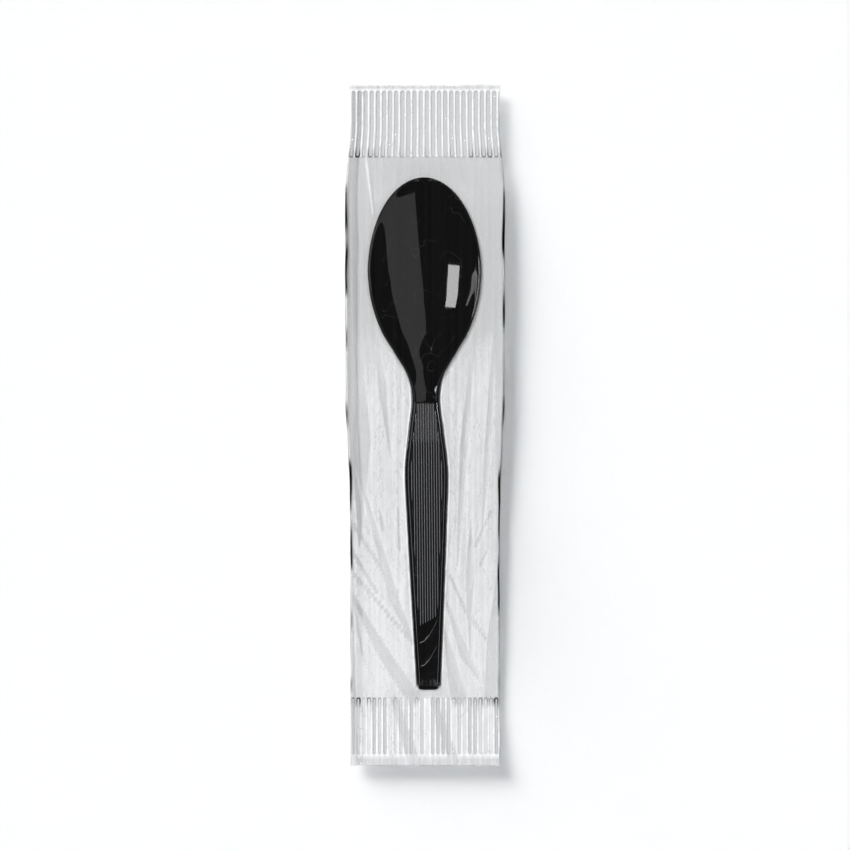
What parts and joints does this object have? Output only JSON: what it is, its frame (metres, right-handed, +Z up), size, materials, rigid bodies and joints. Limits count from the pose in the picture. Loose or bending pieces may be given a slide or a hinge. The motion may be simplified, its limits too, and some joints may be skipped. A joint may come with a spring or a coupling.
{
  "type": "wrapped plastic teaspoon",
  "caption": "Moulded black plastic teaspoon with a fluted handle, sealed in a flat sleeve of clear film with ribbed crimp seals across both ends.",
  "frame": {"origin": "centre of the sleeve's bounding box in plan, on the surface that the pack lies on", "axes": "+Z up, out of the pack's front; +Y along the pack from the spoon's handle towards its bowl; +X to the right, seen from the front with the bowl away from the viewer"},
  "size_m": [0.0476, 0.2026, 0.0128],
  "materials": {
    "black_polystyrene": "moulded gloss",
    "clear_film": "clear and glossy"
  },
  "bodies": {
    "root": {"spoon": "black_polystyrene", "film_wrapper": "clear_film"}
  },
  "joints": []
}
